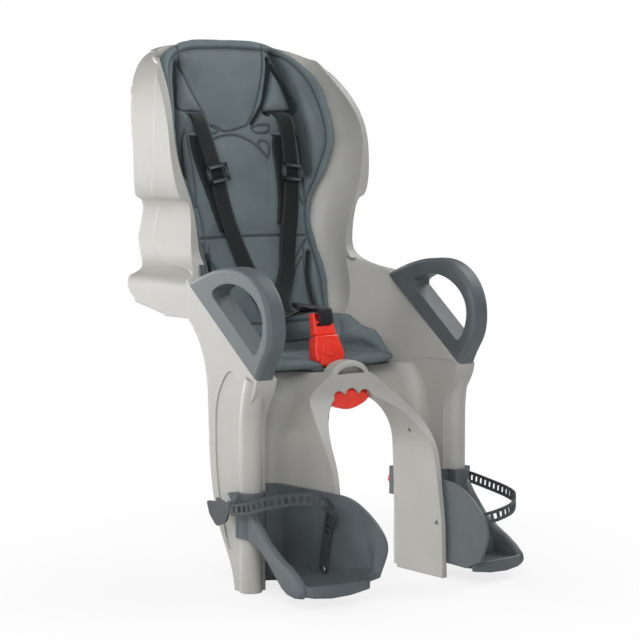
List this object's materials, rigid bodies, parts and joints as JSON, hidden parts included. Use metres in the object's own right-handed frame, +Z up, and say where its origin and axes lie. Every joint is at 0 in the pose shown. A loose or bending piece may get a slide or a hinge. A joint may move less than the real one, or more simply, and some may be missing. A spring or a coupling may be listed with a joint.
{
  "type": "child bike seat",
  "caption": "High-backed rear child bike seat: moulded shell with leg channels, cushion, harness and push-button buckle, loop armrests, sliding footrests and a reclining base.",
  "frame": {"origin": "on the flat underside of the recline base, on the seat's middle plane", "axes": "+Z up, the child faces -Y, +X is on the right of a viewer who faces the seat"},
  "size_m": [0.42, 0.5073, 0.7402],
  "materials": {
    "shell_plastic": "moulded light warm grey, satin",
    "dark_plastic": "moulded dark grey, fine grain",
    "black_plastic": "moulded black",
    "red_plastic": "moulded red, soft gloss",
    "cushion": "moulded foam under slate grey fabric",
    "webbing": "woven black webbing",
    "strap_rubber": "soft dark grey",
    "steel": "plain"
  },
  "bodies": {
    "base": {"recline_base": "dark_plastic"},
    "seat": {"recline_carriage": "dark_plastic", "carriage_screws": "steel", "lever_pin": "steel", "lever_spring": "steel", "seat_shell": "shell_plastic", "seat_pad": "cushion", "armrest_screws": "steel", "armrest_right": "dark_plastic", "armrest_left": "dark_plastic", "shoulder_strap_right": "webbing", "shoulder_strap_left": "webbing", "strap_adjuster_right": "black_plastic", "strap_adjuster_left": "black_plastic", "strap_anchor_right": "black_plastic", "strap_anchor_left": "black_plastic", "tongue_slider": "black_plastic", "buckle_tongue": "red_plastic", "buckle_body": "red_plastic", "button_spring": "steel", "crotch_strap": "webbing", "crotch_anchor": "black_plastic", "tongue_strap": "webbing"},
    "lever": {"recline_lever": "red_plastic"},
    "button": {"buckle_button": "red_plastic"},
    "foot_right": {"footrest_right": "dark_plastic", "foot_strap_right": "strap_rubber", "foot_strap_rivet_right": "steel", "lock_spring_right": "steel"},
    "foot_left": {"footrest_left": "dark_plastic", "foot_strap_left": "strap_rubber", "foot_strap_rivet_left": "steel", "lock_spring_left": "steel"},
    "lock_right": {"footrest_lock_right": "red_plastic"},
    "lock_left": {"footrest_lock_left": "red_plastic"}
  },
  "joints": [
    {"name": "recline", "type": "hinge", "parent": "base", "child": "seat", "pos_m": [0, -0.01, 0.33], "axis": [-1, 0, 0], "range_deg": [0, 12]},
    {"name": "lever_lift", "type": "hinge", "parent": "seat", "child": "lever", "pos_m": [0, -0.005, 0.041], "axis": [-1, 0, 0], "range_deg": [0, 5], "stiffness_Nm_per_rad": 1.5, "springref_deg": -17.19, "deforming": ["lever_spring"]},
    {"name": "button_press", "type": "slide", "parent": "seat", "child": "button", "axis": [0, 0.9563, -0.2924], "range_m": [0, 0.003], "stiffness_N_per_m": 400, "springref_m": -0.005, "deforming": ["button_spring"]},
    {"name": "foot_right_height", "type": "slide", "parent": "seat", "child": "foot_right", "axis": [0, 0, 1], "range_m": [0, 0.06]},
    {"name": "foot_left_height", "type": "slide", "parent": "seat", "child": "foot_left", "axis": [0, 0, 1], "range_m": [0, 0.06]},
    {"name": "lock_right_press", "type": "slide", "parent": "foot_right", "child": "lock_right", "axis": [0, -1, 0], "range_m": [0, 0.004], "stiffness_N_per_m": 500, "springref_m": -0.005, "deforming": ["lock_spring_right"]},
    {"name": "lock_left_press", "type": "slide", "parent": "foot_left", "child": "lock_left", "axis": [0, -1, 0], "range_m": [0, 0.004], "stiffness_N_per_m": 500, "springref_m": -0.005, "deforming": ["lock_spring_left"]}
  ]
}
